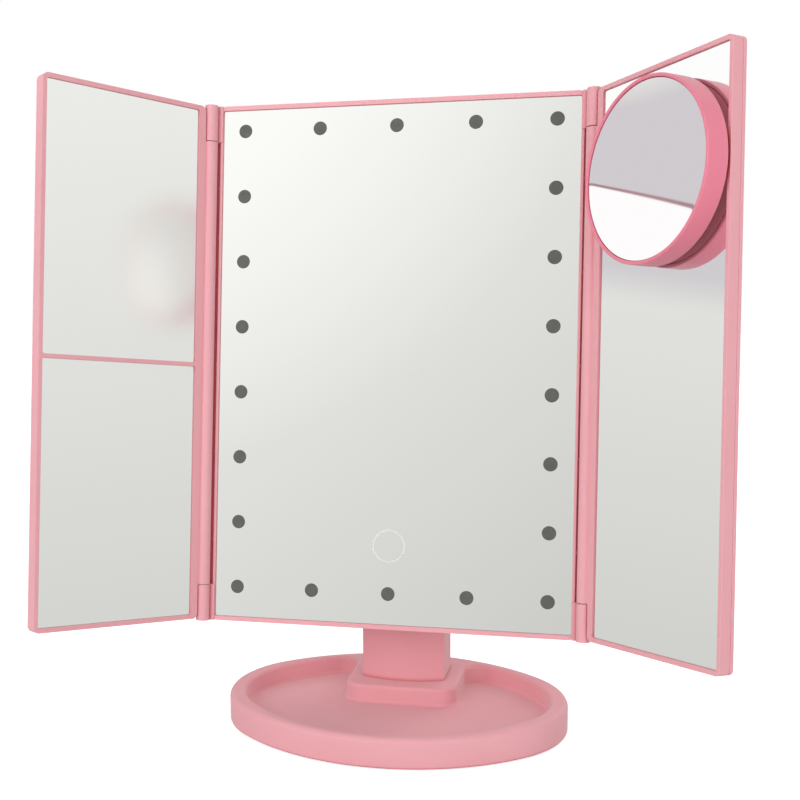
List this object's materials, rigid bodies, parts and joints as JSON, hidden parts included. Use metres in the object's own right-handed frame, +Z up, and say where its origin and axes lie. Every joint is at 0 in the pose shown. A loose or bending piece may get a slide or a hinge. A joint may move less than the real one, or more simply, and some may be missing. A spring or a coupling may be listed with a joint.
{
  "type": "trifold vanity mirror",
  "caption": "Lighted trifold mirror with folding wings and a pull-off round spot mirror, tilting on a short neck over an oval tray base, with a touch point in front and a battery box behind.",
  "frame": {"origin": "middle of the underside of the non-slip pad, on the table", "axes": "+Z up, the mirrors face -Y, +X to the right as seen from the front"},
  "size_m": [0.2856, 0.149, 0.2943],
  "materials": {
    "pink_plastic": "satin injection-moulded pink plastic",
    "hot_pink_plastic": "glossy moulded plastic, a warmer pink",
    "mirror_glass": "float glass silvered on its back",
    "spot_glass": "concave magnifying glass mirror",
    "light_window": "clear spot in the silvering, seen grey with the light off",
    "white_print": "thin white print on glass",
    "pad_rubber": "soft non-slip foam rubber",
    "cup_rubber": "clear soft vinyl suction cup",
    "white_plastic": "plain nylon washer",
    "black_plastic": "matt black moulding",
    "green_board": "green solder-resist on glass-fibre board",
    "white_board": "white solder-resist on glass-fibre board",
    "light_chip": "phosphor-filled light chip",
    "lead_cover": "insulated wire",
    "copper_foil": "copper foil and sprung contact",
    "cell_wrap": "plain shrink wrap on a battery cell",
    "steel": "zinc-plated steel"
  },
  "bodies": {
    "base": {"non_slip_pad": "pad_rubber", "base_cover": "pink_plastic", "base_tray": "pink_plastic", "cover_screws": "steel", "neck_foot_screws": "steel", "neck_front": "pink_plastic", "neck_back": "pink_plastic", "neck_screws": "steel", "tilt_axle": "steel", "tilt_washers": "white_plastic", "axle_nut": "steel"},
    "panel": {"front_frame": "pink_plastic", "centre_mirror": "mirror_glass", "light_windows": "light_window", "touch_ring": "white_print", "touch_pad": "copper_foil", "light_board": "white_board", "light_chips": "light_chip", "control_board": "green_board", "board_parts": "black_plastic", "battery_leads": "lead_cover", "port_board": "green_board", "charging_socket": "steel", "switch_body": "steel", "rear_housing": "pink_plastic", "housing_screws": "steel", "tilt_bracket": "pink_plastic", "bracket_screws": "steel", "battery_box": "pink_plastic", "battery_cells": "cell_wrap", "battery_contacts": "steel", "left_hinge_pins": "steel", "right_hinge_pins": "steel"},
    "left_wing": {"left_wing_frame": "pink_plastic", "left_wing_back": "pink_plastic", "left_upper_mirror": "mirror_glass", "left_lower_mirror": "mirror_glass"},
    "right_wing": {"right_wing_frame": "pink_plastic", "right_wing_back": "pink_plastic", "right_wing_mirror": "mirror_glass"},
    "spot_mirror_unit": {"spot_casing": "hot_pink_plastic", "spot_mirror": "spot_glass", "spot_back": "hot_pink_plastic", "suction_cup": "cup_rubber"},
    "battery_door": {"battery_door": "pink_plastic"},
    "switch_knob": {"switch_knob": "black_plastic"}
  },
  "joints": [
    {"name": "panel_tilt", "type": "hinge", "parent": "base", "child": "panel", "pos_m": [0, 0.014, 0.08], "axis": [-1, 0, 0], "range_deg": [-17.6, 82.4]},
    {"name": "left_wing_fold", "type": "hinge", "parent": "panel", "child": "left_wing", "pos_m": [-0.0865, -0.00895, 0.16882], "axis": [0, 0.1323, 0.9912], "range_deg": [-52, 128]},
    {"name": "right_wing_fold", "type": "hinge", "parent": "panel", "child": "right_wing", "pos_m": [0.0865, -0.00895, 0.16882], "axis": [0, -0.1323, -0.9912], "range_deg": [-52, 72]},
    {"name": "spot_mirror_pull", "type": "slide", "parent": "right_wing", "child": "spot_mirror_unit", "axis": [-0.788, -0.6103, 0.0814], "range_m": [0, 0.006]},
    {"name": "battery_door_lift", "type": "slide", "parent": "panel", "child": "battery_door", "axis": [0, 0.9912, -0.1323], "range_m": [0, 0.007]},
    {"name": "power_switch", "type": "slide", "parent": "panel", "child": "switch_knob", "axis": [1, 0, 0], "range_m": [0, 0.003]}
  ]
}
